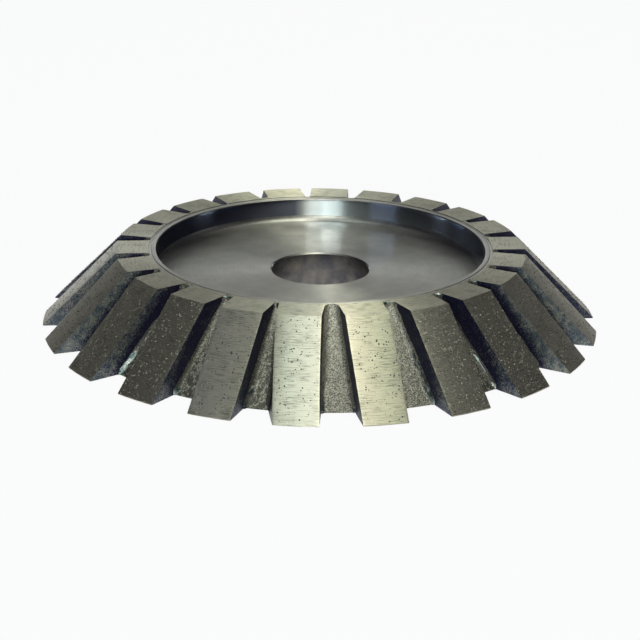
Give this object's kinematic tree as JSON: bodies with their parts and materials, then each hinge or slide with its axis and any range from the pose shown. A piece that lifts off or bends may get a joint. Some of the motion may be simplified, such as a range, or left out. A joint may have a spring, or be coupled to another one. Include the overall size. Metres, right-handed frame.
{
  "type": "bevel milling wheel",
  "caption": "Dished steel wheel with a ring of abrasive segments brazed on its cone; grinds a 45 degree bevel.",
  "frame": {"origin": "on the bore axis, in the plane of the flat back", "axes": "+Z along the bore axis, from the flat back towards the recess and the rim; -Y is the side that faces the picture's camera"},
  "size_m": [0.125, 0.125, 0.0168],
  "materials": {
    "turned_steel": "fine turned carbon steel, grit-blasted on the cone between the segments",
    "diamond_bond": "sintered metal bond with fine diamond grit, dressed faces"
  },
  "bodies": {
    "root": {"steel_core": "turned_steel", "segment_01": "diamond_bond", "segment_02": "diamond_bond", "segment_03": "diamond_bond", "segment_04": "diamond_bond", "segment_05": "diamond_bond", "segment_06": "diamond_bond", "segment_07": "diamond_bond", "segment_08": "diamond_bond", "segment_09": "diamond_bond", "segment_10": "diamond_bond", "segment_11": "diamond_bond", "segment_12": "diamond_bond", "segment_13": "diamond_bond", "segment_14": "diamond_bond", "segment_15": "diamond_bond", "segment_16": "diamond_bond", "segment_17": "diamond_bond", "segment_18": "diamond_bond", "segment_19": "diamond_bond", "segment_20": "diamond_bond", "segment_21": "diamond_bond", "segment_22": "diamond_bond"}
  },
  "joints": []
}
